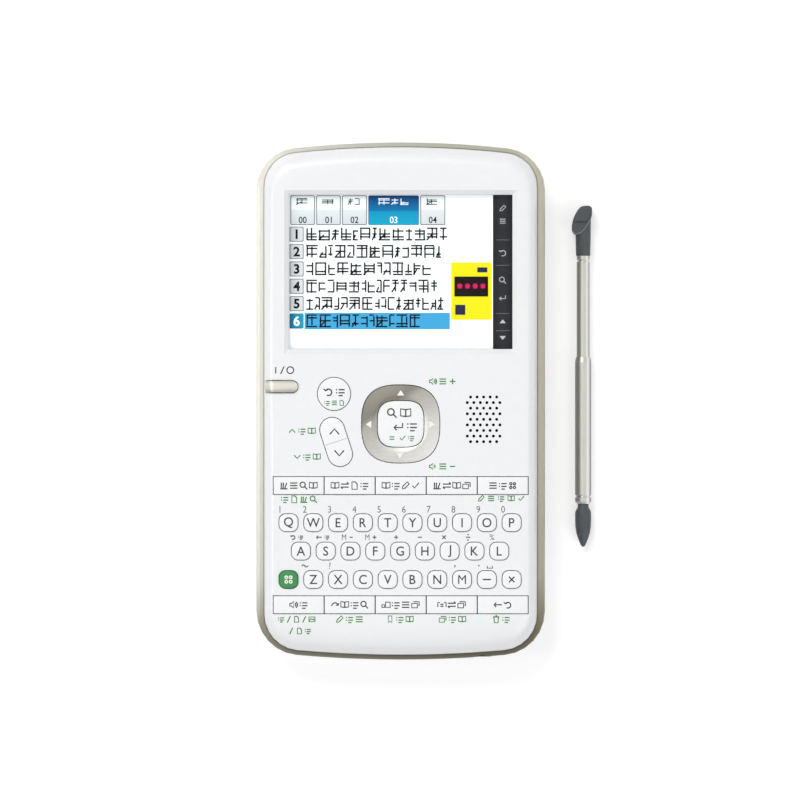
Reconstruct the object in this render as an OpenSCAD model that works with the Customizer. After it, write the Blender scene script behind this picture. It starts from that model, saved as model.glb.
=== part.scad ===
// Hand-held electronic dictionary: a slate with a colour screen, a QWERTY keypad and a telescopic pen.
// It lies on its back with the screen up. X is across, +Y is to the top edge, Z=0 is the back face.

/* [Case] */
// Width of the case
body_w = 69.4; // [68:0.1:74]
// Length of the case
body_l = 124.4; // [122:0.1:130]
// Radius of the two top corners
top_corner_r = 10; // [9:0.5:13]
// Radius of the two bottom corners
bottom_corner_r = 10.6; // [9:0.1:13]
// Radius of the bowed top edge
top_arc_r = 235; // [180:5:400]
// Radius of the bowed bottom edge
bottom_arc_r = 285; // [180:5:400]
// Height of the rear cover's side wall
rear_h = 6.4; // [6:0.1:6.8]
// Height of the metallic band round the case
band_h = 5.6; // [5.2:0.1:6]
// Width of the band that shows at the sides
band_side = 1.7; // [1.4:0.1:2]
// Width of the band that shows at the top and bottom
band_end = 1.0; // [0.8:0.1:1.4]
// Wall thickness of the rear cover
wall = 1.6; // [1.4:0.1:1.8]
// Wall thickness of the front cover's skirt
skirt_wall = 1.2; // [1:0.1:1.3]
// Room between the skirt and the circuit board
board_play = 0.82; // [0.7:0.02:1]
// Seam between the front cover and the band
seam = 0.18; // [0.1:0.01:0.25]
// How far the rounded back edge draws in
back_round = 5.5; // [4:0.1:6]

/* [Front] */
// Thickness of the front plate
plate_t = 1.6; // [1.4:0.1:2]
// How far the front rolls down at the sides
roll_side = 2.4; // [1.5:0.1:3]
// How far the front rolls down at the top
roll_top = 4.0; // [3:0.1:5]
// How far the front rolls down at the bottom
roll_bottom = 6.0; // [4:0.1:7]
// Width of the screen opening
window_w = 53.7; // [52:0.1:54]
// Height of the screen opening
window_h = 37.1; // [36:0.1:38]
// Distance of the screen opening's centre above the case's centre
window_y = 31.0; // [30.6:0.1:31.4]
// Width of the sloped edge round the screen opening
window_bevel = 1.1; // [0.6:0.1:1.3]

/* [Display stack] */
// Thickness of the clear touch panel
touch_t = 0.8; // [0.6:0.1:0.9]
// Thickness of the display module
lcd_t = 2.0; // [1.8:0.1:2.2]
// Depth of the picture area below the module's frame
lcd_recess = 0.2; // [0.15:0.05:0.4]
// Overlap of the touch panel behind the opening's edge
panel_lap = 1.6; // [1.2:0.1:1.8]

/* [Keys] */
// Width of a letter key
key_w = 4.4; // [4:0.1:4.5]
// Height of a letter key
key_h = 4.1; // [3.8:0.1:4.3]
// Corner radius of a letter key
key_r = 1.5; // [0.8:0.1:1.8]
// Distance between letter keys along a row
key_pitch = 5.95; // [5.8:0.05:6.1]
// Distance between the rows of letter keys
row_pitch = 6.82; // [6.6:0.02:6.9]
// Distance of the first row of letters below the case's centre
first_row_y = 29.2; // [29:0.1:29.4]
// Length of the row of function bars
bars_w = 61.0; // [59:0.1:61.5]
// Height of a function bar
bar_h = 4.1; // [3.8:0.1:4.3]
// Line between two function bars
bar_gap = 0.25; // [0.2:0.05:0.4]
// Distance of the upper function bars below the case's centre
upper_bars_y = 20.3; // [20.1:0.1:20.5]
// Distance of the lower function bars below the case's centre
lower_bars_y = 48.9; // [48.7:0.1:49.1]
// Gap round every key in the front plate
key_gap = 0.2; // [0.15:0.01:0.25]
// How far the keys stand proud of the front plate
key_proud = 0.5; // [0.3:0.1:0.7]
// Width of the hidden flange that keeps a key in
flange = 0.35; // [0.25:0.05:0.45]
// Thickness of that flange
flange_t = 0.6; // [0.4:0.1:0.7]
// How far a key can be pressed
key_travel = 0.4; // [0.2:0.05:0.5]

/* [Cursor keys] */
// Outer width of the cursor ring
ring_w = 18.6; // [18:0.1:19]
// Width of the enter key in the ring
enter_w = 11.0; // [10.5:0.1:11.5]
// Distance of the ring's centre below the case's centre
ring_y = 5.5; // [5.3:0.1:5.7]
// Radius of the round back key
back_r = 3.9; // [3.6:0.1:4]
// Place of the back key
back_pos = [-16, 1.7];
// Radius of the two ends of the page rocker
rocker_r = 2.9; // [2.6:0.1:3]
// Upper end of the page rocker
rocker_top = [-16.45, -6.9];
// Lower end of the page rocker
rocker_low = [-14.55, -12.75];
// Radius of the pins that the ring and the rocker tilt on
pivot_r = 0.4; // [0.35:0.05:0.45]
// Length of those pins
pivot_l = 1.1; // [0.9:0.1:1.2]
// Width of the power key
power_w = 2.8; // [2.4:0.1:3.2]
// Distance of the power key's round end from the middle of the case
power_x = 24.7; // [24:0.1:26]
// Distance of the power key above the case's centre
power_y = 3.45; // [3.3:0.05:3.6]

/* [Speaker] */
// Centre of the speaker's holes
speaker_pos = [19.9, -4.4];
// Distance between the speaker's holes along a row
hole_pitch = 1.565; // [1.4:0.01:1.6]
// Distance between the rows of holes
hole_row = 1.34; // [1.2:0.01:1.4]
// Diameter of a speaker hole
hole_d = 0.72; // [0.6:0.01:0.8]
// Diameter of the speaker
speaker_d = 14; // [13:0.5:14]

/* [Inside] */
// Thickness of the circuit board
board_t = 1.0; // [0.8:0.1:1.2]
// Width of the processor on the board's underside
processor_w = 14; // [12:0.5:15]
// Place of the processor's lower left corner
processor_pos = [-16, -30];
// Width of the memory beside it
memory_w = 9; // [8:0.5:10]
// Length of the memory
memory_l = 12; // [10:0.5:13]
// Place of the memory's lower left corner
memory_pos = [6, -26];
// Thickness of the processor
chip_t = 1.4; // [1:0.1:1.5]
// Diameter of a battery cell
cell_d = 10.5; // [10:0.1:10.5]
// Length of a battery cell
cell_l = 44.5; // [43:0.1:44.5]
// Diameter of the cell's positive end
cell_end_d = 3.8; // [3.5:0.1:5.5]
// Thickness of the battery cover
door_t = 1.2; // [1.1:0.1:1.3]
// Lower edge of the battery cover above the case's centre
door_y = 12; // [11:0.5:13]
// Radius of the earphone socket's bore
jack_r = 1.8; // [1.75:0.01:1.85]
// Depth of the earphone socket
jack_l = 12.5; // [11:0.5:13]
// Place of the earphone socket across the case
jack_x = 19.5; // [18:0.5:20]
// Radius of the screws
screw_r = 1.0; // [0.9:0.05:1.1]
// Radius of the screw bosses
boss_r = 2.2; // [2.1:0.1:2.4]
// Play between pieces that are put together
clear = 0.05; // [0.03:0.01:0.1]

/* [Pen] */
// Place of the pen beside the case
pen_x = 44; // [42:0.5:60]
// Radius of the pen's barrel
barrel_r = 1.95; // [1.9:0.05:2.3]
// Length of the barrel
barrel_l = 35.4; // [34:0.1:38]
// Far end of the barrel's mouth above the case's centre
mouth_y = 10.6; // [8:0.1:14]
// Radius of the sliding tube
tube_r = 1.55; // [1.5:0.05:1.6]
// Length of tube that shows when the pen is drawn out
tube_out = 24.4; // [22:0.1:25]
// Length of tube that stays in the barrel
tube_in = 8; // [6:0.5:9]
// Wall of the sliding tube
tube_wall = 0.35; // [0.3:0.05:0.5]
// Length of the cap
cap_l = 12.2; // [11:0.1:14]
// Length of the tip
tip_l = 10.4; // [9:0.1:12]

/* [Hidden] */
LETTER_ROWS = [
    ["q", "w", "e", "r", "t", "y", "u", "i", "o", "p"],
    ["a", "s", "d", "f", "g", "h", "j", "k", "l"],
    ["function", "z", "x", "c", "v", "b", "n", "m", "dash", "clear"]
];
BAR_COUNT = 5;

// Heights in the stack, from the back face up
CELL_Z = door_t + clear + cell_d / 2;
BOARD_Z = door_t + 2 * clear + cell_d;
LCD_Z = BOARD_Z + board_t;
TOUCH_Z = LCD_Z + lcd_t;
PLATE_Z = TOUCH_Z + touch_t;
FACE_Z = PLATE_Z + plate_t;
KEY_Z = FACE_Z + key_proud;
SHEET_Z = LCD_Z;
SHEET_T = 0.5;
// Radius of the rubber domes under the keys, and under the tilting keys
DOME_R = 1.7;
TILT_DOME_R = 0.8;
BAND_TOP = rear_h + band_h;
SKIRT_Z = BAND_TOP - 1.2;
// Straight part of the skirt below the rounded edge
SKIRT_H = 1.6;

// Plan sizes that follow from the driving ones
RING_C = [0, -ring_y];
ROCKER_C = (rocker_top + rocker_low) / 2;
ROCKER_TILT = atan2(rocker_low.x - rocker_top.x, rocker_top.y - rocker_low.y);
ROCKER_HALF = norm(rocker_top - rocker_low) / 2;
RING_POWER = 2.7;
ENTER_POWER = 3.4;
// Lift that a tilting key leaves below the front plate
TILT_ROOM = 0.4;
// Underside of the tilting keys, and of the enter key whose flange lies under the ring
TILT_Z = PLATE_Z - TILT_ROOM - flange_t;
ENTER_Z = TILT_Z - flange_t;
// Reach of the ring's and the rocker's flanges along the line that they tilt on
RING_SIDE = ring_w / 2 + key_gap + flange;
ROCKER_SIDE = rocker_r + key_gap + flange;
RIB_T = 0.5;
BOX_WALL = 0.8;
BOX_X = cell_l / 2 + 0.4;
BOX_Y0 = door_y + 3;
CELL_STEP = cell_d + 0.6;
BOX_Y1 = BOX_Y0 + CELL_STEP + cell_d + 0.8;
DOOR_X = BOX_X + BOX_WALL;
SCREW_X = body_w / 2 - 8.5;
SCREW_Y = body_l / 2 - 7.5;
SCREWS = [for (x = [-SCREW_X, SCREW_X]) for (y = [-SCREW_Y, SCREW_Y]) [x, y]];
HEAD_R = screw_r + 0.8;
HEAD_Z = 0.9;
HEAD_T = 0.7;
SCREW_TOP = PLATE_Z - 1.2;
SHEET_X = body_w / 2 - band_side - seam - skirt_wall - board_play;
LIP_X = 14;
SHEET_TOP = window_y - window_h / 2 - panel_lap - 0.5;
SHEET_LOW = -lower_bars_y - bar_h / 2 - 1.4;
LIP = 0.6;
JACK_W = 6;
JACK_FLOOR = 6.9;
JACK_Z = 9.4;
JACK_FACE = -body_l / 2 + 0.75;
// Length of the socket's collar, which passes through the band and the front cover's skirt
COLLAR_L = 3.3;
COLLAR_R = jack_r + 0.6;
MID_Y = (SHEET_TOP + SHEET_LOW) / 2;
CORNER_STEPS = 6;
ARC_STEPS = 10;
DOME_STEPS = 320;

white = "#f1f2f4";
champagne = "#b9b5a6";
dark_grey = "#3f4549";
steel = "#b5b6b0";
green = "#2f8f46";

// Points along an arc, with its two ends left out when skip is 1
function arc(c, r, a0, a1, n, skip = 0) =
    [for (i = [skip:n - skip]) c + r * [cos(a0 + (a1 - a0) * i / n), sin(a0 + (a1 - a0) * i / n)]];

// The case's outline, drawn in by side, top and bottom
function case_outline(side, top, bottom) =
    let (w = body_w / 2 - side,
         rt = max(top_corner_r - side, 2), rb = max(bottom_corner_r - side, 2),
         big_t = top_arc_r - top, big_b = bottom_arc_r - bottom,
         rise_t = sqrt(pow(big_t - rt, 2) - pow(w - rt, 2)),
         rise_b = sqrt(pow(big_b - rb, 2) - pow(w - rb, 2)),
         mid_t = body_l / 2 - top - big_t, mid_b = big_b + bottom - body_l / 2,
         at = atan2(rise_t, w - rt), ab = atan2(rise_b, w - rb))
    concat(
        arc([w - rt, mid_t + rise_t], rt, 0, at, CORNER_STEPS),
        arc([0, mid_t], big_t, at, 180 - at, ARC_STEPS, 1),
        arc([rt - w, mid_t + rise_t], rt, 180 - at, 180, CORNER_STEPS),
        arc([rb - w, mid_b - rise_b], rb, 180, 180 + ab, CORNER_STEPS),
        arc([0, mid_b], big_b, 180 + ab, 360 - ab, ARC_STEPS, 1),
        arc([w - rb, mid_b - rise_b], rb, 360 - ab, 360, CORNER_STEPS));

// A solid through outlines at several heights, each level being [z, side, top, bottom]
module loft(levels) {
    rings = [for (l = levels) [for (p = case_outline(l[1], l[2], l[3])) [p.x, p.y, l[0]]]];
    n = len(rings[0]);
    last = (len(rings) - 1) * n;
    polyhedron(
        points = [for (ring = rings) each ring],
        faces = concat(
            [[for (i = [0:n - 1]) i]],
            [[for (i = [n - 1:-1:0]) last + i]],
            [for (k = [0:len(rings) - 2]) for (i = [0:n - 1])
                let (a = k * n + i, b = k * n + (i + 1) % n) each [[a, a + n, b + n], [a, b + n, b]]]),
        convexity = 4);
}

module rounded_rect(w, h, r) {
    square([w - 2 * r, h], center = true);
    square([w, h - 2 * r], center = true);
    for (x = [-1, 1], y = [-1, 1])
        translate([x * (w / 2 - r), y * (h / 2 - r)]) circle(r, $fn = 32);
}

// A square with bowed sides and soft corners
module squircle(w, power) {
    polygon([for (a = [0:7.5:352.5])
        w / 2 * [sign(cos(a)) * pow(abs(cos(a)), 2 / power), sign(sin(a)) * pow(abs(sin(a)), 2 / power)]]);
}

module capsule(r, half) {
    square([2 * r, 2 * half], center = true);
    for (y = [-half, half]) translate([0, y]) circle(r, $fn = 48);
}

// ---- Places of the keys ----
function letter_x(row, i) = (i - (len(LETTER_ROWS[row]) - 1) / 2) * key_pitch - 0.15;
function letter_y(row) = -first_row_y - row * row_pitch;
function bar_w() = (bars_w - (BAR_COUNT - 1) * bar_gap) / BAR_COUNT;
function bar_x(i) = (i - (BAR_COUNT + 1) / 2) * (bar_w() + bar_gap);

// ---- Case ----
function rear_levels(d, z0) = [
    [z0, back_round + d, back_round + d, back_round + d],
    [max(z0, 0.5) + 0.3, back_round - 2 + d, back_round - 2 + d, back_round - 2 + d],
    [2.4 + d / 2, 1.8 + d, 1.8 + d, 1.8 + d],
    [4.2, 0.8 + d, 0.8 + d, 0.8 + d],
    [rear_h, 0.3 + d, 0.3 + d, 0.3 + d]
];

module rear_shape() { loft(rear_levels(0, 0)); }

module door_area(play, top) {
    translate([-DOOR_X - play, door_y - play, -1])
        cube([2 * (DOOR_X + play), body_l, top + 1]);
}

module rear_cover() color(white) {
    difference() {
        union() {
            difference() {
                rear_shape();
                loft(concat(rear_levels(wall, wall), [[rear_h + 1, 0.3 + wall, 0.3 + wall, 0.3 + wall]]));
            }
            for (s = SCREWS) translate([s.x, s.y, 1]) cylinder(r = boss_r, h = rear_h - 1, $fn = 48);
            // Box that holds the two cells
            translate([-BOX_X - BOX_WALL, BOX_Y0 - BOX_WALL, 0.6])
                cube([2 * (BOX_X + BOX_WALL), BOX_Y1 - BOX_Y0 + 2 * BOX_WALL, BOARD_Z - 0.6]);
            // Posts under the circuit board
            for (x = [-SHEET_X + 3, SHEET_X - 3], y = [SHEET_LOW + 6, MID_Y + 14])
                translate([x, y, 0.6]) cylinder(r = 1.6, h = BOARD_Z - 0.6, $fn = 32);
        }
        translate([-BOX_X, BOX_Y0, -1]) cube([2 * BOX_X, BOX_Y1 - BOX_Y0, BOARD_Z + 2]);
        door_area(clear, door_t);
        for (s = SCREWS) translate([s.x, s.y, -1]) {
            cylinder(r = HEAD_R + 0.1, h = 1 + HEAD_Z + HEAD_T, $fn = 48);
            cylinder(r = screw_r + 0.1, h = rear_h + 2, $fn = 48);
        }
    }
}

module jack_hole() {
    translate([jack_x, 0, JACK_Z]) rotate([90, 0, 0]) cylinder(r = COLLAR_R + clear, h = body_l, $fn = 48);
}

module rim_band() color(champagne) {
    difference() {
        loft([[rear_h, 0.3, 0.3, 0.3], [rear_h + 0.7, 0, 0, 0], [BAND_TOP - 1.2, 0, 0, 0],
              [BAND_TOP - 0.4, 0.25, 0.15, 0.15], [BAND_TOP, 0.8, 0.5, 0.5]]);
        loft([[rear_h - 1, wall + 0.5, wall + 0.5, wall + 0.5], [BAND_TOP, wall + 0.5, wall + 0.5, wall + 0.5]]);
        loft([[SKIRT_Z, band_side, band_end, band_end], [BAND_TOP + 1, band_side, band_end, band_end]]);
        jack_hole();
    }
}

// Levels of the front cover's skin, drawn in by d all round, between two heights
function front_levels(d, low, top) =
    let (side = band_side + seam + d, end = band_end + seam + d,
         z = SKIRT_Z + SKIRT_H, turn = asin((top - z) / (FACE_Z - z)))
    concat([[low, side, end, end]],
        [for (t = [0, 0.2, 0.45, 0.7, 1])
            [z + (FACE_Z - z) * sin(turn * t),
             side + roll_side * (1 - cos(turn * t)),
             end + roll_top * (1 - cos(turn * t)),
             end + roll_bottom * (1 - cos(turn * t))]]);

module front_shape() { loft(front_levels(0, SKIRT_Z, FACE_Z)); }

module key_hole(low) { translate([0, 0, low]) linear_extrude(FACE_Z - low + 1) children(); }

module speaker_holes() {
    for (row = [-4:4], i = [0:5]) {
        shift = row % 2 == 0 ? 2 : 2.5;
        if (i <= 2 * shift)
            translate([speaker_pos.x + (i - shift) * hole_pitch, speaker_pos.y + row * hole_row])
                circle(d = hole_d, $fn = 16);
    }
}

// Round pins along X, from one end to the other
module pivot(reach, play) {
    translate([-reach, 0, TILT_Z]) rotate([0, 90, 0]) cylinder(r = pivot_r + play, h = 2 * reach, $fn = 32);
}

// Ribs under the front plate, with the seats that the pins turn in
module pivot_ribs(side) {
    for (x = [-side - pivot_l, side + 2 * clear])
        translate([x, -pivot_r - RIB_T, TILT_Z])
            cube([pivot_l - 2 * clear, 2 * (pivot_r + RIB_T), PLATE_Z - TILT_Z + 0.1]);
}

// The two pins of a tilting key, on both sides of its flange
module pivot_pins(side) {
    difference() {
        pivot(side + pivot_l, 0);
        translate([-side + 1, -1, PLATE_Z - 5]) cube([2 * side - 2, 2, 5]);
    }
}

module power_outline(play) {
    translate([-power_x - power_w / 2, power_y]) circle(power_w / 2 + play, $fn = 48);
    translate([-body_w / 2 - 1, power_y - power_w / 2 - play])
        square([body_w / 2 + 1 - power_x - power_w / 2, power_w + 2 * play]);
}

module window_cut() {
    translate([0, window_y, 0]) {
        translate([0, 0, PLATE_Z - 1]) linear_extrude(plate_t + 2)
            square([window_w, window_h], center = true);
        // Sloped edge of the opening
        z = [PLATE_Z + 0.5, FACE_Z + 0.01];
        w = [for (e = [0, window_bevel]) window_w / 2 + e];
        h = [for (e = [0, window_bevel]) window_h / 2 + e];
        polyhedron(
            points = [for (k = [0, 1]) each
                [[-w[k], -h[k], z[k]], [w[k], -h[k], z[k]], [w[k], h[k], z[k]], [-w[k], h[k], z[k]]]],
            faces = [[0, 1, 2, 3], [7, 6, 5, 4], [0, 4, 5, 1], [1, 5, 6, 2], [2, 6, 7, 3], [3, 7, 4, 0]]);
    }
}

module front_cover() color(white) {
    difference() {
        union() {
            difference() {
                front_shape();
                loft(front_levels(skirt_wall, SKIRT_Z - 1, PLATE_Z));
            }
            translate(RING_C) pivot_ribs(RING_SIDE);
            translate(ROCKER_C) rotate(ROCKER_TILT) pivot_ribs(ROCKER_SIDE);
            for (s = SCREWS) translate([s.x, s.y, rear_h]) cylinder(r = boss_r, h = FACE_Z - rear_h - 1, $fn = 48);
        }
        window_cut();
        jack_hole();
        translate(RING_C) pivot(RING_SIDE + 2 * pivot_l, clear);
        translate(ROCKER_C) rotate(ROCKER_TILT) pivot(ROCKER_SIDE + 2 * pivot_l, clear);
        for (s = SCREWS) translate([s.x, s.y, rear_h - 1])
            cylinder(r = screw_r + clear, h = SCREW_TOP - rear_h + 1.3, $fn = 48);
        key_hole(PLATE_Z - 1) {
            for (row = [0:len(LETTER_ROWS) - 1], i = [0:len(LETTER_ROWS[row]) - 1])
                translate([letter_x(row, i), letter_y(row)])
                    rounded_rect(key_w + 2 * key_gap, key_h + 2 * key_gap, key_r + key_gap);
            for (y = [-upper_bars_y, -lower_bars_y]) translate([0, y])
                square([bars_w + 2 * key_gap, bar_h + 2 * key_gap], center = true);
            translate(back_pos) circle(back_r + key_gap, $fn = 64);
            translate(ROCKER_C) rotate(ROCKER_TILT) capsule(rocker_r + key_gap, ROCKER_HALF);
            translate(RING_C) squircle(ring_w + 2 * key_gap, RING_POWER);
            speaker_holes();
            power_outline(key_gap);
        }
    }
}

// ---- Battery, board and display ----
module battery_cover() color(white) {
    difference() {
        intersection() {
            rear_shape();
            door_area(0, door_t);
        }
        // Ribbed thumb grip
        for (i = [0:5]) translate([-7, door_y + 5 + i * 1.6, -0.6]) cube([14, 0.7, 1]);
    }
}

module battery_cells() color("#4a4d52") {
    for (k = [0, 1]) translate([0, BOX_Y0 + 0.4 + cell_d / 2 + k * CELL_STEP, CELL_Z])
        rotate([0, k == 0 ? 90 : -90, 0]) {
            translate([0, 0, -cell_l / 2]) cylinder(d = cell_d, h = cell_l - 1, $fn = 64);
            translate([0, 0, cell_l / 2 - 1.01]) cylinder(d = cell_end_d, h = 1.01, $fn = 32);
        }
}

module main_board() color("#2c6b45") {
    translate([-SHEET_X, SHEET_LOW, BOARD_Z])
        cube([2 * SHEET_X, window_y + window_h / 2 + panel_lap - SHEET_LOW, board_t]);
    // Processor and memory on the underside
    translate([processor_pos.x, processor_pos.y, BOARD_Z - chip_t])
        cube([processor_w, processor_w, chip_t + clear]);
    translate([memory_pos.x, memory_pos.y, BOARD_Z - 0.8 * chip_t])
        cube([memory_w, memory_l, 0.8 * chip_t + clear]);
}

module dome(p, top, r = DOME_R) {
    translate([p.x, p.y, SHEET_Z + SHEET_T - 0.01])
        cylinder(r1 = r, r2 = 0.65 * r, h = top - SHEET_Z - SHEET_T + 0.01, $fn = 24);
}

module key_sheet() color("#8f9498") {
    low = PLATE_Z - flange_t - key_travel - clear;
    tilt_low = TILT_Z - key_travel;
    difference() {
        union() {
            translate([-SHEET_X, SHEET_LOW, SHEET_Z]) cube([2 * SHEET_X, SHEET_TOP - SHEET_LOW, SHEET_T]);
            // Lips that press the sheet on the board
            for (y = [SHEET_LOW, SHEET_TOP - LIP])
                translate([-LIP_X, y, SHEET_Z]) cube([2 * LIP_X, LIP, PLATE_Z - SHEET_Z]);
        }
        // Room for the speaker
        translate([speaker_pos.x, speaker_pos.y, SHEET_Z - 1]) cylinder(d = speaker_d + 2 * clear, h = PLATE_Z, $fn = 64);
    }
    for (row = [0:len(LETTER_ROWS) - 1], i = [0:len(LETTER_ROWS[row]) - 1])
        dome([letter_x(row, i), letter_y(row)], low);
    for (y = [-upper_bars_y, -lower_bars_y], i = [1:BAR_COUNT]) dome([bar_x(i), y], low);
    dome(back_pos, low);
    dome(RING_C, ENTER_Z - key_travel - clear);
    dome([-power_x - power_w / 2, power_y], low);
    // Contacts under the ring's four sides and the rocker's two ends
    for (a = [0:90:270]) dome(RING_C + (ring_w + enter_w) / 4 * [cos(a), sin(a)], tilt_low, TILT_DOME_R);
    for (p = [rocker_top, rocker_low]) dome(p, tilt_low, TILT_DOME_R);
}

module lcd_panel() color("#dfe3e6") {
    w = window_w + 2 * panel_lap;
    h = window_h + 2 * panel_lap;
    difference() {
        translate([-w / 2, window_y - h / 2, LCD_Z]) cube([w, h, lcd_t]);
        translate([-window_w / 2 - 0.3, window_y - window_h / 2 - 0.3, TOUCH_Z - lcd_recess])
            cube([window_w + 0.6, window_h + 0.6, 1]);
    }
}

module touch_panel() color("#e8eef0", 0.35) {
    w = window_w + 2 * panel_lap;
    h = window_h + 2 * panel_lap;
    translate([-w / 2, window_y - h / 2, TOUCH_Z]) cube([w, h, touch_t]);
}

module speaker() color("#3a3c40") {
    translate([speaker_pos.x, speaker_pos.y, 0]) {
        translate([0, 0, LCD_Z]) cylinder(d = speaker_d, h = 1.4, $fn = 64);
        translate([0, 0, LCD_Z + 1.39]) difference() {
            cylinder(d = speaker_d, h = PLATE_Z - LCD_Z - 1.39, $fn = 64);
            translate([0, 0, 0.4]) cylinder(d = speaker_d - 1.6, h = PLATE_Z, $fn = 64);
        }
    }
}

module earphone_jack() color("#2b2d30") {
    difference() {
        union() {
            translate([jack_x - JACK_W / 2, JACK_FACE + COLLAR_L, JACK_FLOOR])
                cube([JACK_W, jack_l + 1 - COLLAR_L, BOARD_Z - JACK_FLOOR]);
            translate([jack_x, JACK_FACE + COLLAR_L + 0.01, JACK_Z]) rotate([90, 0, 0])
                cylinder(r = COLLAR_R, h = COLLAR_L + 0.01, $fn = 48);
        }
        translate([jack_x, JACK_FACE + jack_l, JACK_Z]) rotate([90, 0, 0])
            cylinder(r = jack_r, h = jack_l + 1, $fn = 48);
    }
}

module case_screws() color(steel) {
    for (s = SCREWS) translate([s.x, s.y, HEAD_Z]) {
        difference() {
            cylinder(r = HEAD_R, h = HEAD_T, $fn = 48);
            for (a = [0, 90]) rotate(a) translate([-1.1, -0.2, -0.1]) cube([2.2, 0.4, 0.5]);
        }
        translate([0, 0, HEAD_T - 0.01]) cylinder(r = screw_r, h = SCREW_TOP - HEAD_Z - HEAD_T, $fn = 48);
    }
}

// ---- Keys ----
// A key: its cap with a slightly crowned top and the flange behind the front plate
module keycap(crown, z = PLATE_Z - flange_t) {
    intersection() {
        translate([0, 0, z]) linear_extrude(KEY_Z - z) children(0);
        translate([0, 0, KEY_Z - crown]) sphere(crown, $fn = DOME_STEPS);
    }
    translate([0, 0, z]) linear_extrude(flange_t) children(1);
}

module letter_key(row, i, tint) color(tint) translate([letter_x(row, i), letter_y(row), 0])
    keycap(30) {
        rounded_rect(key_w, key_h, key_r);
        rounded_rect(key_w + 2 * (key_gap + flange) - 0.2, key_h + 2 * (key_gap + flange), key_r);
    }

module function_bar(i, y) color(white) translate([bar_x(i), y, 0])
    keycap(80) {
        square([bar_w(), bar_h], center = true);
        square([bar_w(), bar_h + 2 * (key_gap + flange)], center = true);
    }

module back_key() color(white) translate([back_pos.x, back_pos.y, 0])
    keycap(40) {
        circle(back_r, $fn = 64);
        circle(back_r + key_gap + flange, $fn = 64);
    }

module enter_key() color(white) translate([RING_C.x, RING_C.y, 0])
    keycap(70, ENTER_Z) {
        squircle(enter_w, ENTER_POWER);
        squircle(enter_w + 2 * (key_gap + flange), ENTER_POWER);
    }

// The ring and the rocker tilt, so their flanges leave room below the front plate
module cursor_ring() color(champagne) translate([RING_C.x, RING_C.y, 0]) {
    z = TILT_Z;
    difference() {
        union() {
            intersection() {
                translate([0, 0, z]) linear_extrude(KEY_Z + 0.2 - z) squircle(ring_w, RING_POWER);
                translate([0, 0, KEY_Z + 0.2 - 42]) sphere(42.6, $fn = DOME_STEPS);
            }
            translate([0, 0, z]) linear_extrude(flange_t) squircle(2 * RING_SIDE, RING_POWER);
            pivot_pins(RING_SIDE);
        }
        translate([0, 0, z - 1]) linear_extrude(KEY_Z) squircle(enter_w + 2 * key_gap, ENTER_POWER);
        // Dished inner edge
        translate([0, 0, KEY_Z + 15.4]) sphere(16.6, $fn = DOME_STEPS);
    }
}

module page_rocker() color(white) {
    z = TILT_Z;
    translate([ROCKER_C.x, ROCKER_C.y, 0]) rotate(ROCKER_TILT) {
        intersection() {
            translate([0, 0, z]) linear_extrude(KEY_Z - z) capsule(rocker_r, ROCKER_HALF);
            translate([0, 0, KEY_Z - 50]) sphere(50, $fn = DOME_STEPS);
        }
        translate([0, 0, z]) linear_extrude(flange_t) capsule(ROCKER_SIDE, ROCKER_HALF);
        pivot_pins(ROCKER_SIDE);
    }
}

module power_key() color(champagne) {
    intersection() {
        translate([0, 0, PLATE_Z - flange_t]) linear_extrude(KEY_Z - PLATE_Z + flange_t) power_outline(0);
        translate([0, 0, key_proud]) front_shape();
        translate([-body_w / 2 + band_side + 2 * seam, 0, 0]) cube([20, 20, KEY_Z]);
    }
    translate([0, 0, PLATE_Z - flange_t]) linear_extrude(flange_t) intersection() {
        power_outline(key_gap + flange);
        translate([-body_w / 2 + band_side + seam + wall + roll_side + 0.2, 0]) square([20, 20]);
    }
}

// ---- Pen ----
// A round piece along the pen, from a profile of [radius, y]
module turned(profile) translate([pen_x, 0, barrel_r]) rotate([-90, 0, 0]) rotate([0, 0, 180])
    rotate_extrude($fn = 48) polygon(profile);

module stylus_barrel() color(steel) {
    end = mouth_y - barrel_l;
    difference() {
        turned([[0, end], [barrel_r - 0.5, end], [barrel_r, end + 0.6], [barrel_r, end + 1.4],
                [barrel_r - 0.3, end + 1.8], [barrel_r, end + 2.2], [barrel_r, mouth_y - 1.2],
                [barrel_r - 0.2, mouth_y], [0, mouth_y]]);
        translate([pen_x, mouth_y + 1, barrel_r]) rotate([90, 0, 0])
            cylinder(r = tube_r + clear, h = tube_out + tube_in + 1.2, $fn = 48);
    }
}

module stylus_tip() color(dark_grey) {
    end = mouth_y - barrel_l;
    turned([[0, end - tip_l], [0.35, end - tip_l], [0.6, end - tip_l + 0.6], [barrel_r - 0.15, end - 3.2],
            [barrel_r, end - 2.2], [barrel_r - 0.25, end - 1.1], [barrel_r - 0.7, end - 0.7],
            [barrel_r - 0.7, end], [0, end]]);
}

module stylus_tube() color(steel) {
    difference() {
        turned([[0, mouth_y - tube_in], [tube_r, mouth_y - tube_in], [tube_r, mouth_y + tube_out - 1.6],
                [tube_r - 0.3, mouth_y + tube_out - 1.2], [tube_r, mouth_y + tube_out - 0.8],
                [tube_r, mouth_y + tube_out], [0, mouth_y + tube_out]]);
        translate([pen_x, mouth_y + tube_out - 3, barrel_r]) rotate([90, 0, 0])
            cylinder(r = tube_r - tube_wall, h = tube_out + tube_in, $fn = 48);
    }
}

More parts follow.
